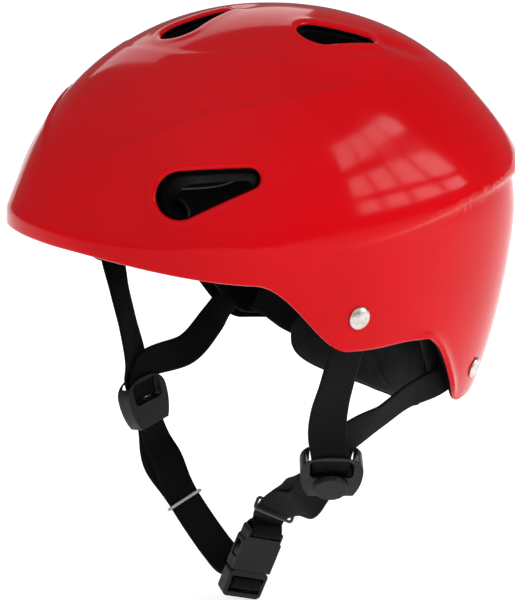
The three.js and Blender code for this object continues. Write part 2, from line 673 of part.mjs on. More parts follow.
// ---- assembly ----
const part = new THREE.Group();
part.add(helmet, buckle());
part.add(piece('nape_pad', napePad(), LOOK.napePad));
for (const [label, side] of [['left', 1], ['right', -1]]) {
  part.add(
    piece(`front_strap_${label}`, frontStrap(label, side), LOOK.webbing),
    piece(`rear_strap_${label}`, rearStrap(label, side), LOOK.webbing),
    piece(`chin_strap_${label}`, chinStrap(label), LOOK.webbing),
    piece(`nape_band_${label}`, napeBand(side), LOOK.webbing),
    divider(label),
    keeper(label, KEEPER_SHARES[label]),
  );
}

export default part;
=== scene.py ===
import math

import bmesh
import bpy
import numpy as np
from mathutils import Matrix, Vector
from mathutils.geometry import delaunay_2d_cdt


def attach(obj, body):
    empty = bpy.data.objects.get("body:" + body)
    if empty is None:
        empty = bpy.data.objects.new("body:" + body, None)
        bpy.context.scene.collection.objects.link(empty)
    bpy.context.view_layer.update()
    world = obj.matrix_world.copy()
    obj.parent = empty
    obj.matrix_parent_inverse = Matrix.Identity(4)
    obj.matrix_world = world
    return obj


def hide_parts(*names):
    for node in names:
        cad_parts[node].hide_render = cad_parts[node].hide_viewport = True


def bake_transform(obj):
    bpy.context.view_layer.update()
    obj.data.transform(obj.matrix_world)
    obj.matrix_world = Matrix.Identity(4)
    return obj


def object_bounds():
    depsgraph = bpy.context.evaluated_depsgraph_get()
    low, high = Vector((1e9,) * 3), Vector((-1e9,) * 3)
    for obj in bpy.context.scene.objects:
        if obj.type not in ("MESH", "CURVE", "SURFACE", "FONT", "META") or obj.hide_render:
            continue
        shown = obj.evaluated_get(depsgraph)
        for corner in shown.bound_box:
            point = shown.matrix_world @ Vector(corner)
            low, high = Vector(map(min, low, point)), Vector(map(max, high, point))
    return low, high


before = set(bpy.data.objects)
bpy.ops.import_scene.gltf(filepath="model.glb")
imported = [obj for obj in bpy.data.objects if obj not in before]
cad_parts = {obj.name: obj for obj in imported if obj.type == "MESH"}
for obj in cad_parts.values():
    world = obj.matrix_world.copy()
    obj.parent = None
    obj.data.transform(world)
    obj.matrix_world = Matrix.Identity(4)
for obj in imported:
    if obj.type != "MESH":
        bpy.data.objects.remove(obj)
cad_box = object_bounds()

# Water-sports helmet. The CAD frame gives every place; lengths below are millimetres unless a name says
# otherwise, and become metres where a mesh is made. +Z is up, the wearer faces -Y, their left is +X.
MM = 0.001

# ---- dimensions shared with the CAD part ----
HALF_WIDTH, HALF_LENGTH, CENTRE_Y = 114.5, 140.0, 8.0
HEIGHT, LOWER_HEIGHT = 112.8, 230.0         # of the shell's shape above and below the brim line
PLAN_POWER, SIDE_POWER = 2.26, 2.05         # how square the shell is seen from above and from the side
WALL, BRIM_FLARE = 3.2, 15.0
TILT = -math.radians(5.8)
LINER_GAP, LINER_THICK, PAD_GAP = 4.0, 18.0, 1.9
# Each vent: its blunt end and its tip as (degrees round from the front, height), and the two radii.
VENTS = [
    ((0, 95.8), (0, 106.5), 10.5, 3.2),
    ((60, 99.6), (90.5, 98.3), 10.3, 3.2),
    ((-60, 99.6), (-90.5, 98.3), 10.3, 3.2),
    ((30.2, 24), (42.6, 33.6), 11.3, 5.0),
    ((-30.2, 24), (-42.6, 33.6), 11.3, 5.0),
]
RIVET_SITES = {"front": (70, -31.3), "rear": (124, -74.1)}
SIDES = (("left", 1), ("right", -1))
WEB_WIDTH, WEB_THICK = 20.0, 1.6
STRAP_AIR, STRAP_TAIL = 1.5, 9.0            # air behind the shell, and webbing beyond a rivet
STRAP_DEPTH = WALL + STRAP_AIR + WEB_THICK / 2
WASHER_DEPTH = WALL + STRAP_AIR + WEB_THICK + 0.6 + 1.1
DIVIDER_SITES = {                           # middle, the way up its slot, and the way its front looks
    "left": ((82, -25.8, -121.1), (0.33, -0.27, 0.9), (0.77, -0.64, 0)),
    "right": ((-80, -32.5, -130.5), (-0.2, -0.12, 0.97), (-0.98, -0.2, 0)),
}
BUCKLE_TOP, BUCKLE_BOTTOM = np.array([7.6, -8.3, -192.1]), np.array([0.4, -23.3, -233.9])
BUCKLE_FACING, PLUG_LENGTH = (0.95, -0.31, -0.05), 17.5
NAPE_CENTRE = np.array([0, 14, -108.0])
NAPE_RADIUS, NAPE_THICK, NAPE_HALF_WIDTH, NAPE_HALF_HEIGHT = 74.0, 13.0, 57.0, 22.0


# ---- small maths ----
def ramp(x, low, high):
    t = np.clip((np.asarray(x, float) - low) / (high - low), 0, 1)
    return t * t * (3 - 2 * t)


def bell(x, width):
    return np.exp(-((x / width) ** 2))


def unit(v):
    v = np.asarray(v, float)
    return v / np.linalg.norm(v, axis=-1, keepdims=True)


def to_part(p):
    """From the shell's own frame into the part's: the whole helmet leans back a little."""
    p = np.asarray(p, float)
    c, s = math.cos(TILT), math.sin(TILT)
    return np.stack([p[..., 0], c * p[..., 1] - s * p[..., 2], s * p[..., 1] + c * p[..., 2]], -1)


# ---- the shell's surface, by theta round from the front and phi down from the crown ----
def from_front(theta):
    """Degrees round from the front, 0 to 180 on either side."""
    return np.abs(np.degrees(np.arctan2(np.sin(theta), np.cos(theta))))


def rim_height(d):
    """Height of the lower edge: brim, temple tab, ear cut-out, rear tab and the nape's arch."""
    return (-8 - 7 * ramp(d, 10, 48) - 34 * ramp(d, 47, 69) + 2 * ramp(d, 72, 90)
            - 46 * ramp(d, 93, 122) + 40 * ramp(d, 134, 172))


def bare(theta, phi):
    """The plain dome, before the brim's flare and the ledge."""
    s, c = np.abs(np.sin(theta)), np.abs(np.cos(theta))
    plan = ((s / HALF_WIDTH) ** PLAN_POWER + (c / HALF_LENGTH) ** PLAN_POWER) ** (-1 / PLAN_POWER)
    upper = phi <= math.pi / 2
    height = np.where(upper, HEIGHT, LOWER_HEIGHT)
    n = np.where(upper, SIDE_POWER, 2.0)
    reach = ((np.sin(phi) / plan) ** n + (np.abs(np.cos(phi)) / height) ** n) ** (-1 / n)
    out = reach * np.sin(phi)
    return np.stack([out * np.sin(theta), CENTRE_Y - out * np.cos(theta), reach * np.cos(phi)], -1)


def flared(theta, phi):
    """The dome with its flared brim but without the ledge. The vents and rivets are laid out on it."""
    p = bare(np.asarray(theta, float), np.asarray(phi, float))
    flare = BRIM_FLARE * np.maximum(np.cos(theta), 0) * np.exp(-np.maximum(p[..., 2], 0) / 30)
    p[..., 1] = CENTRE_Y + (p[..., 1] - CENTRE_Y) * (1 + flare / HALF_LENGTH)
    return p


def shell(theta, phi):
    """Outer face with the flared brim and the ledge that grows towards the back."""
    p = flared(theta, phi)
    d = from_front(theta)
    above = p[..., 2] - 33 * ramp(d, 44, 142)
    size = 2.0 * ramp(d, 26, 50) + 4.0 * ramp(d, 60, 150)
    crisp = 1.1 + 0.9 * ramp(d, 80, 160)
    bulge = size * ramp(above, -crisp, 1.6 * crisp) * (1 - ramp(above, 7, 44))
    p[..., 0] += bulge * np.sin(theta)
    p[..., 1] -= bulge * np.cos(theta)
    return p


def normal_at(surface, theta, phi, e=1e-3):
    q = np.maximum(phi, 0.01)
    around = surface(theta + e, q) - surface(theta - e, q)
    down = surface(theta, q + e) - surface(theta, q - e)
    return unit(np.cross(down, around))


def inset(surface, theta, phi, depth):
    theta, phi = np.asarray(theta, float), np.asarray(phi, float)
    return surface(theta, phi) - normal_at(surface, theta, phi) * np.asarray(depth)[..., None]


def phi_at(theta, z):
    """The phi at which the plain dome reaches a height, found by halving."""
    theta, z = np.broadcast_arrays(np.asarray(theta, float), np.asarray(z, float))
    low, high = np.zeros(theta.shape), np.full(theta.shape, 2.9)
    for _ in range(34):
        mid = (low + high) / 2
        under = bare(theta, mid)[..., 2] < z
        high = np.where(under, mid, high)
        low = np.where(under, low, mid)
    return (low + high) / 2


# ---- vents ----
class Vent:
    """A teardrop hole: a frame on the shell, and the distance from its outline."""

    def __init__(self, blunt, tip, blunt_radius, tip_radius):
        ends = []
        for degrees, z in (blunt, tip):
            theta = math.radians(degrees)
            ends.append(flared(theta, phi_at(theta, z)))
        self.a = ends[0]
        middle = math.radians((blunt[0] + tip[0]) / 2)
        self.normal = normal_at(bare, middle, phi_at(middle, (blunt[1] + tip[1]) / 2))
        along = ends[1] - ends[0]
        along -= self.normal * (along @ self.normal)
        self.span = float(np.linalg.norm(along))
        self.along = along / self.span
        self.across = np.cross(self.normal, self.along)
        self.r0, self.r1 = blunt_radius, tip_radius

    def flat(self, p):
        """A point's place along and across the vent."""
        q = p - self.a
        return q @ self.along, q @ self.across

    def distance(self, p):
        """Signed distance from the outline, far away for points on the shell's other side."""
        u, v = self.flat(p)
        v = np.abs(v)
        b = (self.r0 - self.r1) / self.span
        a = math.sqrt(1 - b * b)
        k = a * u - b * v
        side = a * v + b * u - self.r0
        beside_tip = np.where(k > a * self.span, np.hypot(u - self.span, v) - self.r1, side)
        d = np.where(k < 0, np.hypot(u, v) - self.r0, beside_tip)
        return np.where((p - self.a) @ self.normal < -45, 1e3, d)

    def outline(self, grow):
        """Points round the vent, grown outwards: its blunt arc, one side, its tip arc and the other side."""
        r0, r1 = self.r0 + grow, self.r1 + grow
        lean = math.asin((self.r0 - self.r1) / self.span)
        big = np.linspace(math.pi / 2 - lean, 1.5 * math.pi + lean, 22)
        small = np.linspace(-math.pi / 2 + lean, math.pi / 2 - lean, 11)
        points = [(r0 * math.cos(t), r0 * math.sin(t)) for t in big]
        tips = [(self.span + r1 * math.cos(t), r1 * math.sin(t)) for t in small]
        share = np.linspace(0, 1, 11)[1:-1]
        lower = [tuple((1 - s) * np.array(points[-1]) + s * np.array(tips[0])) for s in share]
        upper = [tuple((1 - s) * np.array(tips[-1]) + s * np.array(points[0])) for s in share]
        return np.array(points + lower + tips + upper)


vents = [Vent(*v) for v in VENTS]


# ---- mesh making ----
def make_object(name, points, faces, uvs=None, sharp_angle=None):
    """A smooth-shaded object from points in millimetres."""
    mesh = bpy.data.meshes.new(name)
    mesh.from_pydata((np.asarray(points, float) * MM).tolist(), [], [list(map(int, f)) for f in faces])
    mesh.validate()
    mesh.shade_smooth()
    if uvs is not None:
        layer = mesh.uv_layers.new(name="weave")
        loops = np.zeros(len(mesh.loops), np.int32)
        mesh.loops.foreach_get("vertex_index", loops)
        layer.data.foreach_set("uv", np.asarray(uvs, np.float32)[loops].ravel())
    if sharp_angle:
        mesh.set_sharp_from_angle(angle=math.radians(sharp_angle))
    obj = bpy.data.objects.new(name, mesh)
    bpy.context.scene.collection.objects.link(obj)
    return obj


def loft(rings):
    """Points and faces through closed rings of equal count, with end caps to a middle point."""
    rings = [np.asarray(r, float) for r in rings]
    n = len(rings[0])
    faces = []
    for k in range(len(rings) - 1):
        for i in range(n):
            j = (i + 1) % n
            faces.append((k * n + i, k * n + j, (k + 1) * n + j, (k + 1) * n + i))
    last = (len(rings) - 1) * n
    points = np.concatenate(rings + [[rings[0].mean(0)], [rings[-1].mean(0)]])
    a, b = len(points) - 2, len(points) - 1
    for i in range(n):
        j = (i + 1) % n
        faces.append((a, j, i))
        faces.append((b, last + i, last + j))
    if signed_volume(points, faces) < 0:
        faces = [tuple(reversed(f)) for f in faces]
    return points, faces


def signed_volume(points, faces):
    """Six times the volume that faces of three or four corners enclose, below zero when they face inwards."""
    a, b, c, d = np.asarray(points)[np.array([tuple(f) + (f[-1],) * (4 - len(f)) for f in faces]).T]
    return (a * (np.cross(b, c) + np.cross(c, d))).sum()


# ---- domes: the shell and the liner ----
def ear_edges():
    """The shell's lower edge beside each ear, which the turned-out flange follows."""
    degrees = np.linspace(78, 130, 130)
    lines = []
    for _, side in SIDES:
        theta = np.radians(side * degrees)
        lines.append(shell(theta, phi_at(theta, rim_height(degrees))))
    return degrees, lines


def dome(name, surface, relief, rim, outer, inner, vent_grow, lip, columns, rows, bead):
    """A closed dome between two depths under a surface, with vents that have rolled lips and a round edge.
    The flat map of the dome is a disc: distance from its middle is the share of the way to the rim."""
    degrees = np.linspace(-180, 180, 1441)
    rim_phi = phi_at(np.radians(degrees), rim(np.abs(degrees)))

    def angles(ab):
        theta = np.arctan2(ab[:, 0], -ab[:, 1])
        return theta, np.hypot(ab[:, 0], ab[:, 1]) * np.interp(np.degrees(theta), degrees, rim_phi)

    def place(ab):
        return surface(*angles(ab))

    grid = [np.zeros((1, 2))]
    for k in range(1, rows + 1):
        share = k / rows
        around = columns if share > 0.35 else columns // 2 if share > 0.14 else columns // 4
        t = 2 * math.pi * np.arange(around) / around
        grid.append(share * np.stack([np.sin(t), -np.cos(t)], -1))
    rim_count = len(grid[-1])
    ab = np.concatenate(grid)
    spots = place(ab)
    normals = normal_at(surface, *angles(ab))

    def on_vent(vent, outline):
        """Disc places of points in a vent's flat frame, by Newton steps from the nearest grid point."""
        def miss(x):
            p, q = vent.flat(place(x))
            return np.stack([p - outline[:, 0], q - outline[:, 1]], -1)

        u, v = vent.flat(spots)
        facing = normals @ vent.normal > 0.4
        found = []
        for want in outline:
            cost = np.where(facing, np.hypot(u - want[0], v - want[1]), 1e9)
            found.append(ab[int(np.argmin(cost))] + 1e-5)
        found = np.array(found)
        e = 1e-5
        for _ in range(8):
            f = miss(found)
            jx = (miss(found + [e, 0]) - f) / e
            jy = (miss(found + [0, e]) - f) / e
            det = jx[:, 0] * jy[:, 1] - jy[:, 0] * jx[:, 1]
            step_a = jy[:, 1] * f[:, 0] - jy[:, 0] * f[:, 1]
            step_b = jx[:, 0] * f[:, 1] - jx[:, 1] * f[:, 0]
            step = np.stack([step_a, step_b], -1)
            found = found - np.clip(step / det[:, None], -0.05, 0.05)
        return found

    keep = np.ones(len(ab), bool)
    collars = [lip + s for s in (0, 1.3, 2.8, 4.5, 6.5)]
    for vent in vents:
        keep &= vent.distance(spots) > vent_grow + collars[-1] + 1.3
    sheet = [ab[keep]]
    total = int(keep.sum())
    rim_start = total - rim_count
    edges = [(rim_start + i, rim_start + (i + 1) % rim_count) for i in range(rim_count)]
    loops = []
    for vent in vents:
        for collar in collars:
            loop = on_vent(vent, vent.outline(vent_grow + collar))
            sheet.append(loop)
            ids = list(range(total, total + len(loop)))
            edges += [(a, b) for a, b in zip(ids, ids[1:] + ids[:1])]
            if collar == collars[0]:
                loops.append(ids)
            total += len(loop)
    flat = np.concatenate(sheet)
    verts, _, tris, origin, _, _ = delaunay_2d_cdt([Vector(p) for p in flat], edges, [], 0, 1e-7)
    where = {source: i for i, sources in enumerate(origin) for source in sources}
    flat = np.array([tuple(v) for v in verts])
    top = place(flat)
    theta, phi = angles(flat)
    normal = normal_at(surface, theta, phi)
    centres = top[np.array(tris)].mean(1)
    inside = np.zeros(len(tris), bool)
    for vent in vents:
        inside |= vent.distance(centres) < vent_grow + lip - 0.02
    tris = [t for t, gone in zip(tris, inside) if not gone]
    height = bare(theta, phi)[:, 2]
    lift = relief(theta, phi, top)
    upper = top + normal * (lift - outer(height))[:, None]
    lower = top - normal * inner(height)[:, None]
    count = len(flat)
    points = [upper, lower]
    faces = [tuple(t) for t in tris] + [tuple(count + i for i in reversed(t)) for t in tris]
    # The inner sheet is marked for the near-black painted shade.
    painted_shade_face = [False] * len(tris) + [True] * len(tris)
    used = 2 * count

    def stitch(first, rings, last, flip, dark_from):
        """Faces between loops of ids; rings are new points between the first loop and the last.
        Faces from the loop numbered dark_from onwards are marked for the near-black painted shade of the
        shell's inside."""
        nonlocal used
        ids = [list(first)]
        for ring in rings:
            points.append(ring)
            ids.append(list(range(used, used + len(ring))))
            used += len(ring)
        ids.append(list(last))
        for number, (a, b) in enumerate(zip(ids, ids[1:])):
            n = len(a)
            for i in range(n):
                j = (i + 1) % n
                quad = (a[i], b[i], b[j], a[j])
                faces.append(tuple(reversed(quad)) if flip else quad)
                painted_shade_face.append(number >= dark_from)

    for vent, loop in zip(vents, loops):
        first = [where[i] for i in loop]
        rings = []
        for grow, depth in ((0.68, 0.05), (0.4, 0.2), (0.17, 0.46), (0.03, 0.78), (0, 1.15), (0, 1.7)):
            spot = on_vent(vent, vent.outline(vent_grow + grow * lip))
            t, f = angles(spot)
            h = bare(t, f)[:, 2]
            sink = outer(h) + depth * lip * 0.9 - relief(t, f, place(spot))
            rings.append(place(spot) - normal_at(surface, t, f) * sink[:, None])
        spot = on_vent(vent, vent.outline(vent_grow + 0.15 * lip))
        t, f = angles(spot)
        rings.append(place(spot) - normal_at(surface, t, f) * (inner(bare(t, f)[:, 2]) - 0.2)[:, None])
        # Vent walls from the fourth loop inwards are marked for the near-black painted shade, so the vents look
        # dark.
        stitch(first, rings, [count + i for i in first], False, 4)

    first = [where[rim_start + i] for i in range(rim_count)]
    edge_top, edge_low = upper[first], lower[first]
    middle = (edge_top + edge_low) / 2
    half = (edge_top - edge_low) / 2
    run = np.roll(middle, -1, 0) - np.roll(middle, 1, 0)
    down = unit(np.cross(half, run)) * bead
    if down[:, 2].mean() > 0:
        down = -down
    rings = [middle + half * math.cos(a) + down * math.sin(a) for a in np.linspace(0, math.pi, 8)[1:-1]]
    # The inner half of the rounded edge is marked for the near-black painted shade.
    stitch(first, rings, [count + i for i in first], True, 3)
    points = np.concatenate(points)
    a, b, c = points[np.array([f[:3] for f in faces[:len(tris)]]).T]
    if (np.cross(b - a, c - a) * a).sum() < 0:
        faces = [tuple(reversed(f)) for f in faces]
    obj = make_object(name, to_part(points), faces)
    obj.data.polygons.foreach_set("material_index", np.array(painted_shade_face, np.int32))
    tidy_normals(obj)
    return obj


def tidy_normals(obj):
    """Drops loose points and turns every face outwards."""
    bm = bmesh.new()
    bm.from_mesh(obj.data)
    bmesh.ops.delete(bm, geom=[v for v in bm.verts if not v.link_faces], context="VERTS")
    bmesh.ops.recalc_face_normals(bm, faces=bm.faces)
    bm.to_mesh(obj.data)
    bm.free()


def crease(z, slope, theta, line):
    """Arc length above a crease line given as (degrees, height) pairs, and its strength there, 0 to 1."""
    d = from_front(theta)
    xs, ys = np.array(line).T
    s = (z - np.interp(d, xs, ys)) / slope
    fade = ramp(d, xs[0] - 9, xs[0] + 4) * (1 - ramp(d, xs[-1] - 6, xs[-1] + 10))
    return s, fade


rim_degrees, rim_lines = ear_edges()
FLANGE_OUT, FLANGE_WIDTH = 3.0, 8.0         # how far the ear cut-out's edge turns out, and over what width
CROWN_LINE = [(-1, 85.5), (14, 85), (38, 88), (63, 90), (100, 91), (150, 88), (181, 88)]
SIDE_LINE = [(10.5, 36), (20, 48), (29, 59), (40, 65), (51.5, 70.5), (60, 75), (71, 78.5)]


def shell_relief(theta, phi, p):
    """Height of the moulded detail above the plain surface."""
    z = bare(theta, phi)[:, 2]
    lift = np.zeros(len(z))
    s, _ = crease(z, 0.5, theta, CROWN_LINE)
    lift -= 0.5 * ramp(s, -1.7, 1.7) * np.exp(-np.maximum(s, 0) / 26)
    s, fade = crease(z, 0.72, theta, SIDE_LINE)
    lift += 1.3 * fade * (1 - ramp(s, -1.5, 1.5)) * np.exp(-np.maximum(-s, 0) / 15)
    for number, vent in enumerate(vents):
        d = vent.distance(p)
        lift += 0.4 * bell(d - 3.4, 2.2)
        u, v = vent.flat(p)
        if number < 3:
            beyond = u - vent.span
            width = 4.5 + 0.12 * np.maximum(beyond, 0)
            lift -= np.where(d < 500, 1.7 * bell(v, width) * ramp(beyond, 2, 9) * (1 - ramp(beyond, 9, 46)), 0)
    weight = ramp(rim_degrees, 84, 95) * (1 - ramp(rim_degrees, 110, 118))
    for line in rim_lines:
        near = np.full(len(p), 1e3)
        strength = np.zeros(len(p))
        close = np.abs(p[:, 0] - line[0, 0]) < 90
        close &= p[:, 2] < 20
        for point, w in zip(line, weight):
            d = np.linalg.norm(p[close] - point, axis=1)
            better = d < near[close]
            at = np.flatnonzero(close)[better]
            near[at] = d[better]
            strength[at] = w
        lift += FLANGE_OUT * strength * np.maximum(1 - near / FLANGE_WIDTH, 0) ** 2
    return lift


def no_relief(theta, phi, p):
    return np.zeros(len(p))


def flat_depth(depth):
    return lambda z: np.full(np.shape(z), float(depth))


def on_tabs(z):
    return 1 - ramp(z, -22, -6)


def liner_outer(z):
    """Depth of the liner's outer face, deeper on the temple and rear tabs."""
    return LINER_GAP + 7.0 * on_tabs(z)


def liner_inner(z):
    return liner_outer(z) + LINER_THICK - 11.0 * on_tabs(z)


# ---- materials ----
def shader(name, color, roughness, **fixed):
    """A new material; fixed gives the shader's other inputs, with _ for a space."""
    made = bpy.data.materials.new(name)
    made.use_nodes = True
    tree = made.node_tree
    bsdf = tree.nodes["Principled BSDF"]
    bsdf.inputs["Base Color"].default_value = (*color, 1)
    bsdf.inputs["Roughness"].default_value = roughness
    for key, value in fixed.items():
        bsdf.inputs[key.replace("_", " ")].default_value = value
    return made, tree, bsdf


def node(tree, kind, **values):
    made = tree.nodes.new(kind)
    for key, value in values.items():
        if key in made.inputs:
            made.inputs[key].default_value = value
        else:
            setattr(made, key, value)
    return made


def object_coords(tree, scale=(1, 1, 1)):
    coords = tree.nodes.new("ShaderNodeTexCoord")
    mapping = node(tree, "ShaderNodeMapping")
    mapping.inputs["Scale"].default_value = scale
    tree.links.new(coords.outputs["Object"], mapping.inputs["Vector"])
    return mapping.outputs["Vector"]


def noise(tree, coords, scale, detail=3.0, rough=0.5):
    made = node(tree, "ShaderNodeTexNoise", Scale=scale, Detail=detail, Roughness=rough)
    tree.links.new(coords, made.inputs["Vector"])
    return made.outputs["Fac"]


def roughen(tree, bsdf, value, low, high):
    """Roughness that varies between two values."""
    made = tree.nodes.new("ShaderNodeMapRange")
    made.inputs["From Min"].default_value = 0.3
    made.inputs["From Max"].default_value = 0.7
    made.inputs["To Min"].default_value = low
    made.inputs["To Max"].default_value = high
    tree.links.new(value, made.inputs["Value"])
    tree.links.new(made.outputs["Result"], bsdf.inputs["Roughness"])


def paint(tree, bsdf, value, first, second, start=0.35, end=0.65):
    """A colour that varies between two tones."""
    made = tree.nodes.new("ShaderNodeValToRGB")
    made.color_ramp.elements[0].position = start
    made.color_ramp.elements[1].position = end
    made.color_ramp.elements[0].color = (*first, 1)
    made.color_ramp.elements[1].color = (*second, 1)
    tree.links.new(value, made.inputs["Fac"])
    tree.links.new(made.outputs["Color"], bsdf.inputs["Base Color"])


def bump(tree, bsdf, height, strength, distance, below=None):
    made = node(tree, "ShaderNodeBump", Strength=strength, Distance=distance)
    tree.links.new(height, made.inputs["Height"])
    if below is not None:
        tree.links.new(below, made.inputs["Normal"])
    tree.links.new(made.outputs["Normal"], bsdf.inputs["Normal"])
    return made.outputs["Normal"]


def maths(tree, operation, a, b=None):
    made = node(tree, "ShaderNodeMath", operation=operation)
    for slot, value in enumerate((a, b)):
        if value is None:
            continue
        if isinstance(value, (int, float)):
            made.inputs[slot].default_value = value
        else:
            tree.links.new(value, made.inputs[slot])
    return made.outputs[0]


def red_shell():
    made, tree, bsdf = shader("shell_red", (0.62, 0.0015, 0.0055), 0.12, Coat_Weight=0.03, Coat_Roughness=0.03,
                              Specular_IOR_Level=0.09)
    coords = object_coords(tree)
    paint(tree, bsdf, noise(tree, coords, 14, 2), (0.585, 0.0012, 0.005), (0.65, 0.0018, 0.0062))
    roughen(tree, bsdf, noise(tree, coords, 55, 5), 0.08, 0.16)
    waves = bump(tree, bsdf, noise(tree, coords, 42, 1), 0.12, 0.0006)
    bump(tree, bsdf, noise(tree, coords, 620, 2), 0.05, 0.00012, waves)
    return made


# Near-black painted shade for the shell's inner face and deep vent walls, standing in for the dark inside of
# the vents.
def shell_painted_shade():
    made, tree, bsdf = shader("shell_painted_shade", (0.0015, 0.0015, 0.0015), 0.8, Specular_IOR_Level=0.03)
    coords = object_coords(tree)
    paint(tree, bsdf, noise(tree, coords, 90, 3), (0.001, 0.001, 0.001), (0.002, 0.002, 0.002))
    bump(tree, bsdf, noise(tree, coords, 700, 2), 0.1, 0.0001)
    return made


def foam():
    made, tree, bsdf = shader("foam_black", (0.0015, 0.0015, 0.0015), 0.9, Sheen_Weight=0.01,
                              Sheen_Roughness=0.6, Specular_IOR_Level=0.04)
    coords = object_coords(tree)
    cells = node(tree, "ShaderNodeTexVoronoi", Scale=620.0)
    tree.links.new(coords, cells.inputs["Vector"])
    paint(tree, bsdf, noise(tree, coords, 160, 4), (0.001, 0.001, 0.001), (0.0022, 0.0022, 0.0023))
    roughen(tree, bsdf, noise(tree, coords, 90, 3), 0.75, 0.92)
    soft = bump(tree, bsdf, noise(tree, coords, 70, 3), 0.25, 0.0008)
    bump(tree, bsdf, cells.outputs["Distance"], 0.35, 0.0004, soft)
    return made


def knit(name, dark, light, scale, sheen, gloss=0.03):
    made, tree, bsdf = shader(name, light, 0.9, Sheen_Weight=sheen, Sheen_Roughness=0.45,
                              Specular_IOR_Level=gloss)
    coords = object_coords(tree)
    stitches = node(tree, "ShaderNodeTexVoronoi", Scale=scale)
    tree.links.new(object_coords(tree, (1, 1, 0.6)), stitches.inputs["Vector"])
    paint(tree, bsdf, noise(tree, coords, 240, 6, 0.7), dark, light)
    roughen(tree, bsdf, noise(tree, coords, 120, 3), 0.8, 0.96)
    folds = bump(tree, bsdf, noise(tree, coords, 48, 2), 0.3, 0.0015)
    bump(tree, bsdf, stitches.outputs["Distance"], 0.5, 0.0005, folds)
    return made


def woven():
    """Flat woven webbing. The map gives millimetres along (U) and across (V)."""
    made, tree, bsdf = shader("webbing_black", (0.0025, 0.0025, 0.0027), 0.72, Sheen_Weight=0.015,
                              Sheen_Roughness=0.4, Specular_IOR_Level=0.09)
    place = node(tree, "ShaderNodeUVMap", uv_map="weave")
    apart = tree.nodes.new("ShaderNodeSeparateXYZ")
    tree.links.new(place.outputs["UV"], apart.inputs["Vector"])
    u, v = apart.outputs["X"], apart.outputs["Y"]
    rib = maths(tree, "PINGPONG", v, 1.25)
    slant = maths(tree, "ADD", u, maths(tree, "MULTIPLY", rib, 0.9))
    weft = maths(tree, "SINE", maths(tree, "MULTIPLY", slant, 5.0))
    warp = maths(tree, "ABSOLUTE", maths(tree, "SINE", maths(tree, "MULTIPLY", v, 2.5133)))
    weave = maths(tree, "ADD", maths(tree, "MULTIPLY", weft, 0.5), maths(tree, "MULTIPLY", warp, 0.7))
    coords = object_coords(tree)
    fuzz = noise(tree, coords, 900, 4, 0.7)
    tone = maths(tree, "ADD", maths(tree, "MULTIPLY", weave, 0.28), maths(tree, "MULTIPLY", fuzz, 0.75))
    paint(tree, bsdf, tone, (0.0008, 0.0008, 0.0009), (0.0048, 0.0048, 0.005), 0.2, 0.8)
    roughen(tree, bsdf, fuzz, 0.62, 0.85)
    cloth = bump(tree, bsdf, noise(tree, coords, 60, 2), 0.2, 0.0008)
    bump(tree, bsdf, weave, 0.55, 0.00022, cloth)
    return made


def moulded():
    tone = 0.0048
    made, tree, bsdf = shader("plastic_black", (tone, tone * 1.06, tone * 1.08), 0.42, Specular_IOR_Level=0.22)
    coords = object_coords(tree)
    paint(tree, bsdf, noise(tree, coords, 60, 3), (tone * 0.85, tone * 0.9, tone * 0.92),
          (tone * 1.2, tone * 1.28, tone * 1.3))
    roughen(tree, bsdf, noise(tree, coords, 300, 4), 0.34, 0.52)
    bump(tree, bsdf, noise(tree, coords, 1500, 2), 0.22, 0.00012)
    return made


def nickel_plate():
    made, tree, bsdf = shader("nickel", (0.62, 0.6, 0.56), 0.3, Metallic=1.0)
    coords = object_coords(tree)
    paint(tree, bsdf, noise(tree, coords, 220, 4), (0.5, 0.475, 0.43), (0.72, 0.7, 0.66))
    roughen(tree, bsdf, noise(tree, coords, 500, 3), 0.22, 0.42)
    bump(tree, bsdf, noise(tree, object_coords(tree, (1, 1, 8)), 900, 3), 0.12, 0.0001)
    return made


def elastic():
    made, tree, bsdf = shader("keeper_grey", (0.42, 0.42, 0.43), 0.6)
    coords = object_coords(tree)
    paint(tree, bsdf, noise(tree, coords, 700, 4), (0.36, 0.36, 0.37), (0.52, 0.52, 0.53))
    bump(tree, bsdf, noise(tree, coords, 1400, 2), 0.3, 0.0002)
    return made


def stitch_thread():
    made, tree, bsdf = shader("thread_black", (0.03, 0.03, 0.032), 0.55, Sheen_Weight=0.3)
    coords = object_coords(tree)
    paint(tree, bsdf, noise(tree, coords, 2000, 2), (0.022, 0.022, 0.024), (0.05, 0.05, 0.053))
    bump(tree, bsdf, noise(tree, coords, 3000, 2), 0.4, 0.0002)
    return made


LOOK = {
    "shell_red": red_shell(),
    "shell_painted_shade": shell_painted_shade(),
    "foam_black": foam(),
    "pad_fabric": knit("pad_fabric", (0.001, 0.001, 0.0011), (0.0028, 0.0028, 0.003), 820, 0.01),
    "nape_grey": knit("nape_grey", (0.003, 0.003, 0.0032), (0.0075, 0.0076, 0.008), 900, 0.04, 0.2),
    "webbing_black": woven(),
    "plastic_black": moulded(),
    "nickel": nickel_plate(),
    "keeper_grey": elastic(),
    "thread": stitch_thread(),
}


def finish_piece(obj, slot, body=None, replaces=(), look=None):
    """Gives a piece its material, looked up by slot unless look is given, hides the CAD nodes that it replaces
    and attaches it to the body that it rides on.
    """
    obj.data.materials.clear()
    obj.data.materials.append(LOOK[look or slot])
    if replaces:
        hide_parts(*replaces)
    if body:
        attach(obj, body)
    return obj


# ---- shell and liner ----
shell_obj = dome("shell_moulding", shell, shell_relief, lambda d: rim_height(d) + 1.4, flat_depth(0),
                 flat_depth(WALL), 0.0, 2.1, 320, 118, 1.5)
painted_shade_index = np.zeros(len(shell_obj.data.polygons), np.int32)
shell_obj.data.polygons.foreach_get("material_index", painted_shade_index)
finish_piece(shell_obj, "shell_red", "helmet", ["outer_shell"])
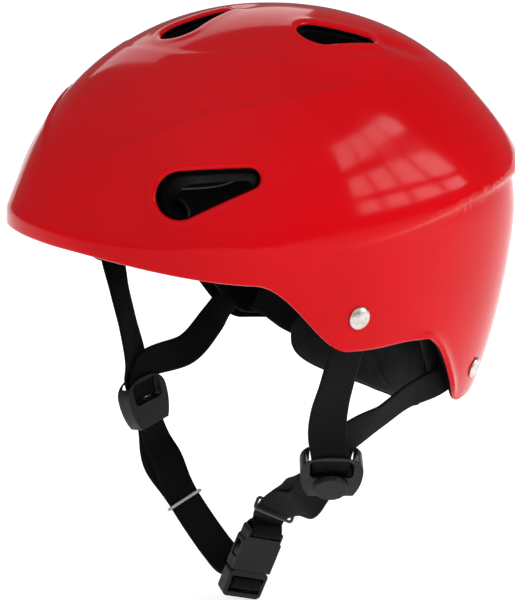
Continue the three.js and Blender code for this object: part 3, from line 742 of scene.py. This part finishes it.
# The second material is the near-black painted shade on the inner faces and deep vent walls.
shell_obj.data.materials.append(LOOK["shell_painted_shade"])
shell_obj.data.polygons.foreach_set("material_index", painted_shade_index)

liner_obj = dome("liner_foam", bare, no_relief, lambda d: rim_height(d) + 5.5, liner_outer, liner_inner,
                 -1.5, 1.2, 150, 40, 2.0)
liner_obj.data.polygons.foreach_set("material_index", np.zeros(len(liner_obj.data.polygons), np.int32))
finish_piece(liner_obj, "foam_black", "helmet", ["foam_liner"])


# ---- rivets and washers ----
RIVET_COUNT, WASHER_COUNT = 40, 36      # sides round each


def lathe(name, profile, at, axis):
    """Turned body; profile is (radius, height) from the axis and back to it."""
    axis = unit(axis)
    x = unit(np.cross(axis, [0, 0, 1.0] if abs(axis[2]) < 0.9 else [1.0, 0, 0]))
    y = np.cross(axis, x)
    t = 2 * math.pi * np.arange(RIVET_COUNT) / RIVET_COUNT
    points, faces = loft([np.asarray(at) + np.outer(np.cos(t), x) * r + np.outer(np.sin(t), y) * r + axis * h
                          for r, h in profile])
    return make_object(name, points, faces, sharp_angle=50)


def washer_ring(name, base, normal):
    """A flat ring with eased edges; its section is (radius, height), turned all the way round."""
    section = [(2.75, 0.15), (3.0, 0), (7.1, 0), (7.5, 0.3), (7.5, 0.8), (7.1, 1.1), (3.0, 1.1), (2.75, 0.95)]
    x = unit(np.cross(normal, [0, 0, 1.0]))
    y = np.cross(normal, x)
    points = np.array([base + (math.cos(a) * x + math.sin(a) * y) * r + normal * h
                       for a in 2 * math.pi * np.arange(WASHER_COUNT) / WASHER_COUNT for r, h in section])
    m, n = len(section), WASHER_COUNT
    faces = [(k * m + i, k * m + (i + 1) % m, ((k + 1) % n) * m + (i + 1) % m, ((k + 1) % n) * m + i)
             for k in range(n) for i in range(m)]
    washer = make_object(name, points, faces, sharp_angle=40)
    tidy_normals(washer)
    return washer


def rivet_frame(place, side):
    """A rivet's place on the shell, the way out of it and the way up along it, in the shell's frame."""
    degrees, z = RIVET_SITES[place]
    theta = math.radians(degrees * side)
    phi = phi_at(theta, z)
    n = normal_at(bare, theta, phi)
    up = np.array([0, 0, 1.0]) - n * n[2]
    return flared(theta, phi), n, unit(up)


holes = {}
for label, side in SIDES:
    for place in RIVET_SITES:
        at, n, up = rivet_frame(place, side)
        hole, normal, upward = to_part(at - n * STRAP_DEPTH), to_part(n), to_part(up)
        holes[place, label] = (hole, normal, upward)
        name = f"{place}_{label}"
        at, tail = to_part(at), -(WASHER_DEPTH + 0.3)
        quarter = np.linspace(0, math.pi / 2, 12)[:-1]
        dome_line = [(5.8 * math.cos(a), 0.45 + 2.25 * math.sin(a)) for a in quarter]
        profile = [(0.4, tail - 1.4), (2.7, tail - 1.4), (3.4, tail - 1.0), (3.6, tail - 0.4), (3.5, tail),
                   (2.4, tail), (2.4, 0.2), (5.5, 0.2), (5.75, 0.25)] + dome_line + [(0.25, 2.7)]
        rivet = lathe(f"rivet_dome_{name}", profile, at, normal)
        finish_piece(rivet, "nickel", "helmet", [f"rivet_{name}"])
        washer = washer_ring(f"washer_ring_{name}", at - normal * WASHER_DEPTH, normal)
        finish_piece(washer, "plastic_black", "helmet", [f"washer_{name}"])


# ---- webbing ----
def spline(points, t):
    """Centripetal Catmull-Rom curve through the points, as a function of share by point number."""
    points = np.asarray(points, float)
    last = len(points) - 1
    at = min(max(t, 0.0), 1.0) * last
    k = min(int(at), last - 1)
    w = at - k
    p1, p2 = points[k], points[k + 1]
    p0 = points[k - 1] if k > 0 else 2 * p1 - p2
    p3 = points[k + 2] if k + 2 <= last else 2 * p2 - p1
    d0, d1, d2 = (max(np.linalg.norm(b - a) ** 0.5, 1e-4) for a, b in ((p0, p1), (p1, p2), (p2, p3)))
    t1 = ((p1 - p0) / d0 - (p2 - p0) / (d0 + d1) + (p2 - p1) / d1) * d1
    t2 = ((p2 - p1) / d1 - (p3 - p1) / (d1 + d2) + (p3 - p2) / d2) * d1
    return p1 + t1 * w + (-3 * p1 + 3 * p2 - 2 * t1 - t2) * w * w + (2 * p1 - 2 * p2 + t1 + t2) * w ** 3


WEB_PITCH = 2.2             # step along a ribbon


def webbing_frames(points, widths):
    """Places, width directions and face directions at even spacing along a ribbon."""
    share = np.linspace(0, 1, 60 * (len(points) - 1) + 1)
    line = np.array([spline(points, t) for t in share])
    length = np.concatenate([[0], np.cumsum(np.linalg.norm(np.diff(line, axis=0), axis=1))])
    count = max(8, int(length[-1] / WEB_PITCH))
    want = np.linspace(0, length[-1], count + 1)
    t = np.interp(want, length, share)
    places = np.array([spline(points, x) for x in t])
    widths = np.asarray([unit(w) for w in widths])
    at = np.clip(t * (len(widths) - 1), 0, len(widths) - 1.001)
    k = at.astype(int)
    side = widths[k] * (1 - (at - k))[:, None] + widths[k + 1] * (at - k)[:, None]
    for _ in range(5):
        side[1:-1] = (side[:-2] + 2 * side[1:-1] + side[2:]) / 4
    tangent = unit(np.gradient(places, axis=0))
    side = unit(side - tangent * (side * tangent).sum(1)[:, None])
    return want, places, side, np.cross(tangent, side)


def webbing(name, points, widths, thick=WEB_THICK, shift=None, sink=None, width=WEB_WIDTH):
    """A woven ribbon with rounded edges. shift and sink move it across and through its width, by share."""
    length, places, side, face = webbing_frames(points, widths)
    share = length / length[-1]
    if shift is not None:
        places = places + side * shift(share)[:, None]
    if sink is not None:
        places = places + face * sink(share)[:, None]
    half, r = width / 2, thick / 2
    section = []
    steps = 12
    for sign in (1, -1):
        for v in np.linspace(half - r, -half + r, steps):
            section.append((v * sign, sign * r * (1 + 0.05 * math.cos(v * 1.2566))))
        for a in (0.35, 0.65):
            section.append((-sign * (half - r + r * math.sin(a * math.pi)), sign * r * math.cos(a * math.pi)))
    section = np.array(section)
    rings = [p + np.outer(section[:, 0], s) + np.outer(section[:, 1], f) for p, s, f in zip(places, side, face)]
    made, faces = loft(rings)
    m = len(section)
    uvs = np.zeros((len(made), 2))
    for k, along in enumerate(length):
        uvs[k * m:(k + 1) * m, 0] = along
        uvs[k * m:(k + 1) * m, 1] = section[:, 0]
    uvs[len(rings) * m:] = [(0, 0), (length[-1], 0)]
    return make_object(name, made, faces, uvs)


def square_to(axis, facing):
    """Unit vector at right angles to an axis, nearest a given direction."""
    facing = np.asarray(facing, float)
    return unit(facing - axis * (axis @ facing))


def divider_axes(label):
    """A divider's middle, the way up it, out of its front and across it."""
    at, axis, facing = DIVIDER_SITES[label]
    up = unit(axis)
    out = square_to(up, facing)
    return np.array(at, float), up, out, np.cross(up, out)


def in_divider(label, height, depth):
    at, up, out, _ = divider_axes(label)
    return at + up * height + out * depth


def across_back(label, side):
    """The way across a divider that leads towards the back, times side."""
    across = divider_axes(label)[3]
    return across * math.copysign(1, across[1]) * side


# Middle-line points of the free stretches and the way each ribbon's width points there. They follow the CAD
# straps, moved by up to 4 mm.
FRONT_ROUTES = {
    "left": [(99.6, -39.2, -62), (92.4, -37.6, -80.5), (88, -34.8, -96.5)],
    "right": [(-95.5, -38.4, -58), (-88.5, -37, -82), (-84.5, -35, -104)],
}
FRONT_WIDTHS = {
    "left": [(0.25, 0.97, 0.05), (0.45, 0.88, 0.1), (0.58, 0.81, 0.05)],
    "right": [(0.42, -0.9, -0.05), (0.45, -0.88, -0.08), (0.3, -0.95, -0.08)],
}
FRONT_LEANS = {"left": 1.2, "right": 0.0}
REAR_ROUTES = {
    "left": [(94.5, 44, -84), (93, 20, -87.5), (91.5, -2, -95.5)],
    "right": [(-95.5, 46, -84.3), (-87, 27, -92.5), (-81.5, 3, -105)],
}
REAR_WIDTHS = [(0.17, -0.1, 1), (0.28, -0.5, 0.8), (0.3, -0.7, 0.66), (0, -0.75, 0.55)]
CHIN_STARTS = {             # height, depth and shift towards the back in the divider's own frame
    "left": [(4, 0, 0), (-5, 0.3, -2.2), (-12.5, 0.6, -8)],
    "right": [(-0.5, 0, 0), (-17, 0, 0)],
}
CHIN_ROUTES = {
    "left": [(57, -25.8, -148), (41, -20, -157.8), (27, -15.5, -168.5), (15.5, -10, -179),
             (9, -5.9, -185.4), (8, -7.5, -190)],
    "right": [(-73.8, -28.8, -160), (-67.5, -26.8, -172.5), (-57.5, -24.5, -185.5), (-45.5, -22, -198.5),
              (-30, -19.5, -211.8), (-17, -17.8, -220.5), (-7, -17.6, -225)],
}
CHIN_WIDTHS = {
    "left": [(0.62, 0.55, -0.5), (0.57, 0.35, -0.74), (0.5, 0.45, -0.7), (0.42, 0.65, -0.6),
             (0.3, 0.85, -0.42), (0.27, 0.88, -0.38), (0.27, 0.88, -0.38)],
    "right": [(0.1, 1, 0.1), (0.35, 0.93, 0.15), (0.5, 0.8, 0.25), (0.5, 0.72, 0.4), (0.4, 0.7, 0.5),
              (0.3, 0.85, 0.15), (0.27, 0.88, -0.38)],
}
CHIN_FANS = {"left": (3.0, 0.34, 0.14), "right": (2.6, 0.33, 0.12)}     # how far, where and how widely
KEEPER_SHARES = {"left": 0.66, "right": 0.56}


def front_route(label, side):
    """Straight down from the front rivet into the divider."""
    hole, normal, up = holes["front", label]
    top = np.cross(up, normal)
    points = [hole + up * STRAP_TAIL, hole, hole - up * 11] + FRONT_ROUTES[label]
    points += [in_divider(label, 14, 2.7) - across_back(label, FRONT_LEANS[label]), in_divider(label, 1.5, 1.1)]
    return points, [top] * 3 + FRONT_WIDTHS[label] + [across_back(label, side)] * 2


def rear_route(label, side):
    """Forward from the rear rivet and down into the divider, the upper edge becoming the front edge."""
    hole, normal, up = holes["rear", label]
    forward = np.cross(up, normal) * -side
    back = across_back(label, 1)
    points = [hole - forward * STRAP_TAIL, hole, hole + forward * 8 - normal * 0.4] + REAR_ROUTES[label]
    points += [in_divider(label, 21, -3) + back * 6.2, in_divider(label, 13.5, -2) + back * 1.2,
               in_divider(label, 2.2, -1.1)]
    widths = [up] * 3 + [(x * side, y, z) for x, y, z in REAR_WIDTHS]
    return points, widths + [-back] * 2


def chin_route(label):
    """Out of the divider and down to the buckle."""
    back = across_back(label, 1)
    points = [in_divider(label, height, depth) + back * shift for height, depth, shift in CHIN_STARTS[label]]
    return points + CHIN_ROUTES[label], [back, back] + CHIN_WIDTHS[label]


for label, side in SIDES:
    points, widths = front_route(label, side)
    strap = webbing(f"front_webbing_{label}", points, widths)
    finish_piece(strap, "webbing_black", "harness", [f"front_strap_{label}"])
    points, widths = rear_route(label, side)
    strap = webbing(f"rear_webbing_{label}", points, widths)
    finish_piece(strap, "webbing_black", None, [f"rear_strap_{label}"])
    np.array(points[1]) * MM
    np.array(points[-3]) * MM
    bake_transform(strap)
    points, widths = chin_route(label)
    fan, middle, spread_out = CHIN_FANS[label]
    for number, sign in ((1, 1), (2, -1)):
        strap = webbing(f"chin_webbing_{label}_{number}", points, widths, thick=1.5,
                        shift=lambda s: sign * (fan * bell(s - middle, spread_out)),
                        sink=lambda s: sign * (0.85 + 0.9 * bell(s - 0.33, 0.08)))
        finish_piece(strap, "webbing_black", None, [f"chin_strap_{label}"])
        if label == "left":
            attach(strap, "harness")
        else:
            np.array(points[5]) * MM
            np.array(points[-2]) * MM
            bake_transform(strap)


# ---- the turns of webbing round the buckle's bars ----
buckle_up = unit(BUCKLE_TOP - BUCKLE_BOTTOM)
buckle_out = square_to(buckle_up, BUCKLE_FACING)
buckle_across = np.cross(buckle_up, buckle_out)
buckle_middle = BUCKLE_BOTTOM + buckle_up * PLUG_LENGTH
BAR_TURNS = {       # body, CAD node, and the turn's middle line as (up the buckle, out of its front)
    "socket": ("harness", "chin_strap_left",
               [(31.5, -1.7), (29, -4.2), (26.4, -5.75), (24, -4.2), (23.6, 0), (24, 4.2), (26.4, 5.75),
                (29, 4.2), (31.5, 1.7)]),
    "plug": ("plug", "chin_strap_right",
             [(-4.4, -6.6), (-5.2, -3), (-5.5, 1), (-5.9, 4.6), (-8.4, 6.2), (-11, 4.6), (-12, 1),
              (-12.3, -3), (-13.2, -6.6)]),
}
for name, (body, node_name, bends) in BAR_TURNS.items():
    points = [buckle_middle + buckle_up * y + buckle_out * z for y, z in bends]
    turn = webbing(f"bar_turn_{name}", points, [buckle_across] * len(points), thick=1.4, width=19.6)
    finish_piece(turn, "webbing_black", body, [node_name])


# ---- nape pad and its bands ----
def nape_point(a, r, z):
    return np.stack([NAPE_CENTRE[0] + r * np.sin(a), NAPE_CENTRE[1] + r * np.cos(a), z + 0 * a], -1)


NAPE_REACH = math.asin(NAPE_HALF_WIDTH / (NAPE_RADIUS + NAPE_THICK / 2))


def pillow(name, place, power, columns, rows, edge):
    """A crowned closed form: place(u, v, w) takes u, v in the unit square and w through it, -1 to 1."""
    t = 2 * math.pi * np.arange(columns) / columns
    c, s = np.cos(t), np.sin(t)
    k = (np.abs(c) ** power + np.abs(s) ** power) ** (-1 / power)
    rings = []
    shares = np.sin(np.linspace(0, math.pi / 2, rows + 1))[1:]
    for face in (1, -1):
        order = shares if face == 1 else shares[::-1][1:]
        for share in order:
            crown = (1 - share ** 2.6) ** edge
            rings.append(place(share * k * c, share * k * s, face * crown))
    made, faces = loft(rings)
    return make_object(name, made, faces)


def nape_place(u, v, w):
    a = u * NAPE_REACH
    z = NAPE_CENTRE[2] + NAPE_HALF_HEIGHT * v + 3 * np.abs(u)
    r = NAPE_RADIUS + NAPE_THICK / 2 + 0.12 * (z - NAPE_CENTRE[2]) + w * NAPE_THICK / 2
    return nape_point(a, r, z)


def tube(name, path, radius, count):
    """A round tube along a closed loop of points."""
    path = np.asarray(path, float)
    ahead = unit(np.roll(path, -1, 0) - np.roll(path, 1, 0))
    guide = unit(path - path.mean(0))
    x = unit(guide - ahead * (guide * ahead).sum(1)[:, None])
    y = np.cross(ahead, x)
    t = 2 * math.pi * np.arange(count) / count
    n = len(path)
    points = np.concatenate([p + np.outer(np.cos(t), a) * radius + np.outer(np.sin(t), b) * radius
                             for p, a, b in zip(path, x, y)])
    faces = [(k * count + i, k * count + (i + 1) % count, ((k + 1) % n) * count + (i + 1) % count,
              ((k + 1) % n) * count + i) for k in range(n) for i in range(count)]
    obj = make_object(name, points, faces)
    tidy_normals(obj)
    return obj


def edge_path(place, power, count):
    """The seam line of a pillow."""
    t = 2 * math.pi * np.arange(count) / count
    k = (np.abs(np.cos(t)) ** power + np.abs(np.sin(t)) ** power) ** (-1 / power)
    return place(k * np.cos(t), k * np.sin(t), 0)


CLOTH_PRESSURE, CLOTH_FRAMES = 4.0, 20


def inflate(obj, cap, columns, rows):
    """Swells a pillow as cloth under pressure, held at its seam, and keeps moves of up to cap millimetres."""
    seam = obj.vertex_groups.new(name="seam")
    seam.add(list(range((rows - 1) * columns, rows * columns)), 1.0, "REPLACE")
    start = np.array([v.co for v in obj.data.vertices])
    cloth = obj.modifiers.new("air", "CLOTH")
    cloth.settings.vertex_group_mass = "seam"
    cloth.settings.use_pressure = True
    cloth.settings.uniform_pressure_force = CLOTH_PRESSURE
    cloth.settings.effector_weights.gravity = 0
    cloth.settings.quality = 5
    scene = bpy.context.scene
    for number in range(1, CLOTH_FRAMES + 1):
        scene.frame_set(number)
    shown = obj.evaluated_get(bpy.context.evaluated_depsgraph_get())
    end = np.array([v.co for v in shown.data.vertices])
    obj.modifiers.clear()
    obj.vertex_groups.clear()
    scene.frame_set(1)
    move = end - start
    size = np.linalg.norm(move, axis=1, keepdims=True)
    end = start + move * np.minimum(1, cap * MM / np.maximum(size, 1e-9))
    obj.data.vertices.foreach_set("co", end.ravel())
    obj.data.update()


nape = pillow("nape_cushion", nape_place, 2.7, 96, 16, 0.42)
inflate(nape, 1.6, 96, 16)
finish_piece(nape, "nape_grey", "helmet", ["nape_pad"])
binding = tube("nape_binding", edge_path(nape_place, 2.7, 160), 1.5, 10)
finish_piece(binding, "nape_grey", "helmet")

# Each band's middle line as (degrees round from the back, radius, height).
BAND_STOPS = ((61, 89.4, -79), (54, 89.8, -86), (47, 91.4, -95), (38, 90.2, -101), (31, 90, -103))
for label, side in SIDES:
    points = [(side * r * math.sin(math.radians(a)), NAPE_CENTRE[1] + r * math.cos(math.radians(a)), z)
              for a, r, z in BAND_STOPS]
    band = webbing(f"nape_webbing_{label}", points, [(0.1 * side, 0.1, 1)] * len(points))
    finish_piece(band, "webbing_black", "helmet", [f"nape_band_{label}"])


# ---- fit pads ----
PAD_NEAR = LINER_GAP + LINER_THICK + PAD_GAP


def fit_pad(name, degrees, z, half_angle, half_height, node_name):
    """A pad that follows the inside of the liner, round a middle given in degrees and height."""
    def place(u, v, w):
        theta = np.radians(degrees + u * half_angle)
        phi = phi_at(theta, z + v * half_height)
        return to_part(inset(bare, theta, phi, np.full(np.shape(theta), PAD_NEAR + 4.25 - 4.2 * w)))
    pad = pillow(name, place, 3.2, 64, 12, 0.36)
    inflate(pad, 1.0, 64, 12)
    finish_piece(pad, "pad_fabric", "helmet", [node_name])
    seam = tube(f"{name}_seam", edge_path(place, 3.2, 120), 0.9, 8)
    finish_piece(seam, "pad_fabric", "helmet", look="thread")


fit_pad("front_cushion", 0, 12, 27, 15, "front_pad")
fit_pad("rear_cushion", 180, 12, 27, 15, "rear_pad")
fit_pad("side_cushion_left", 88, 14, 24, 16, "side_pad_left")
fit_pad("side_cushion_right", -88, 14, 24, 16, "side_pad_right")

crown_top = HEIGHT - PAD_NEAR - 1.5


def crown_place(u, v, w):
    r = np.hypot(u, v)
    z = crown_top - 7.2 - 1.6 * r * r + (5.0 if w > 0 else 4.8) * w
    return to_part(np.stack([34 * u, CENTRE_Y + 34 * v, z], -1))


crown = pillow("crown_cushion", crown_place, 2.0, 72, 12, 0.4)
inflate(crown, 1.0, 72, 12)
finish_piece(crown, "pad_fabric", "helmet", ["crown_pad"])
seam = tube("crown_cushion_seam", edge_path(crown_place, 2.0, 120), 0.9, 8)
finish_piece(seam, "pad_fabric", "helmet", look="thread")


# ---- keepers: loops with round corners, half width w and half height h ----
KEEPER_LOOKS = {"left": "thread", "right": "keeper_grey"}
w, h, r = 11.4, 3.5, 1.5
for label, _ in SIDES:
    points, widths = chin_route(label)
    _, places, across, face = webbing_frames(points, widths)
    spot = spline(points, KEEPER_SHARES[label])
    k = int(np.argmin(np.linalg.norm(places - spot, axis=1)))
    loop = []
    for cx, cy, a0 in ((w - r, h - r, 0), (-w + r, h - r, 90), (-w + r, -h + r, 180), (w - r, -h + r, 270)):
        for a in np.radians(np.linspace(a0, a0 + 90, 7)):
            loop.append(spot + across[k] * (cx + r * math.cos(a)) + face[k] * (cy + r * math.sin(a)))
    band = tube(f"keeper_loop_{label}", loop, 0.95, 10)
    finish_piece(band, "keeper_grey", f"keeper_body_{label}", [f"strap_keeper_{label}"],
                 look=KEEPER_LOOKS[label])


# ---- rigid plastic kept from the CAD, with moulded edges ----
def moulded_edges(node_name):
    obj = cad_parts[node_name]
    obj.data.materials.clear()
    obj.data.materials.append(LOOK["plastic_black"])
    weld = obj.modifiers.new("weld", "WELD")
    weld.merge_threshold = 1e-5
    flat = obj.modifiers.new("flat", "DECIMATE")
    flat.decimate_type = "DISSOLVE"
    flat.angle_limit = math.radians(2)
    bevel = obj.modifiers.new("edges", "BEVEL")
    bevel.width = 0.45 * MM
    bevel.segments = 3
    bevel.limit_method = "ANGLE"
    bevel.angle_limit = math.radians(35)
    bevel.harden_normals = True


for name in ("buckle_socket", "buckle_plug", "prong_left", "prong_right", "divider_left", "divider_right",
             "divider_cap_left", "divider_cap_right"):
    moulded_edges(name)

# ---- floor, light and camera ----
FLOOR_REACH, FLOOR_DROP = 30, 0.0015       # metres: half the floor's side, and its place below the buckle
floor_mesh = bpy.data.meshes.new("floor")
low = cad_box[0].z - FLOOR_DROP
corners = [(x * FLOOR_REACH, y * FLOOR_REACH, low) for x, y in ((-1, -1), (1, -1), (1, 1), (-1, 1))]
floor_mesh.from_pydata(corners, [], [(0, 1, 2, 3)])
floor = bpy.data.objects.new("floor", floor_mesh)
bpy.context.scene.collection.objects.link(floor)
made, tree, bsdf = shader("floor_pale", (0.9, 0.9, 0.9), 0.9)
paint(tree, bsdf, noise(tree, object_coords(tree), 6, 2), (0.89, 0.89, 0.89), (0.91, 0.91, 0.91))
bsdf.inputs["Emission Color"].default_value = (1, 1, 1, 1)
bsdf.inputs["Emission Strength"].default_value = 0.64
bsdf.inputs["Specular IOR Level"].default_value = 0.1
floor_mesh.materials.append(made)

# The world is a dim even grey, brighter round one direction above the helmet's front.
world = bpy.data.worlds.new("studio")
bpy.context.scene.world = world
world.use_nodes = True
sky = world.node_tree
background = sky.nodes["Background"]
background.inputs["Color"].default_value = (1, 1, 1, 1)
towards = node(sky, "ShaderNodeVectorMath", operation="DOT_PRODUCT")
towards.inputs[1].default_value = (0.17, -0.47, 0.87)
sky.links.new(sky.nodes.new("ShaderNodeTexCoord").outputs["Generated"], towards.inputs[0])
lobe = maths(sky, "POWER", maths(sky, "MAXIMUM", towards.outputs["Value"], 0.0), 2.0)
sky.links.new(maths(sky, "ADD", maths(sky, "MULTIPLY", lobe, 0.85), 0.16), background.inputs["Strength"])


def direction(azimuth, elevation):
    """Unit vector from the helmet, with azimuth 0 in front of it and growing towards its left."""
    a, e = math.radians(azimuth), math.radians(elevation)
    return Vector((math.sin(a) * math.cos(e), -math.cos(a) * math.cos(e), math.sin(e)))


def softbox(name, azimuth, elevation, distance, width, height, power):
    data = bpy.data.lights.new(name, "AREA")
    data.shape = "RECTANGLE"
    data.size, data.size_y, data.energy = width, height, power
    way = direction(azimuth, elevation)
    lamp = bpy.data.objects.new(name, data)
    lamp.location = Vector((0, 0, -0.02)) + way * distance
    lamp.rotation_mode = "QUATERNION"
    lamp.rotation_quaternion = way.to_track_quat("Z", "Y")
    bpy.context.scene.collection.objects.link(lamp)


softbox("back_left", -118, 34, 2.4, 1.6, 1.2, 9)
# A window of small panes, which shows in the shell's gloss.
for column in range(4):
    for row in range(3):
        softbox(f"window_{column}_{row}", 114 + 9.5 * column, 14 + 10 * row, 2.3, 0.28, 0.28, 1.75)

CAMERA_AIM, CAMERA_DISTANCE = Vector((0, -0.00732, -0.05115)), 0.66547      # metres
CAMERA_AZIMUTH, CAMERA_ELEVATION = 50.02, 17.42
camera_data = bpy.data.cameras.new("camera")
camera_data.sensor_width = 36
camera_data.lens = 70.401
camera_data.clip_start, camera_data.clip_end = 0.05, 80
camera = bpy.data.objects.new("camera", camera_data)
away = direction(CAMERA_AZIMUTH, CAMERA_ELEVATION)
camera.location = CAMERA_AIM + away * CAMERA_DISTANCE
camera.rotation_mode = "QUATERNION"
camera.rotation_quaternion = away.to_track_quat("Z", "Y")
bpy.context.scene.collection.objects.link(camera)
bpy.context.scene.camera = camera
bpy.context.scene.view_settings.view_transform = "Standard"
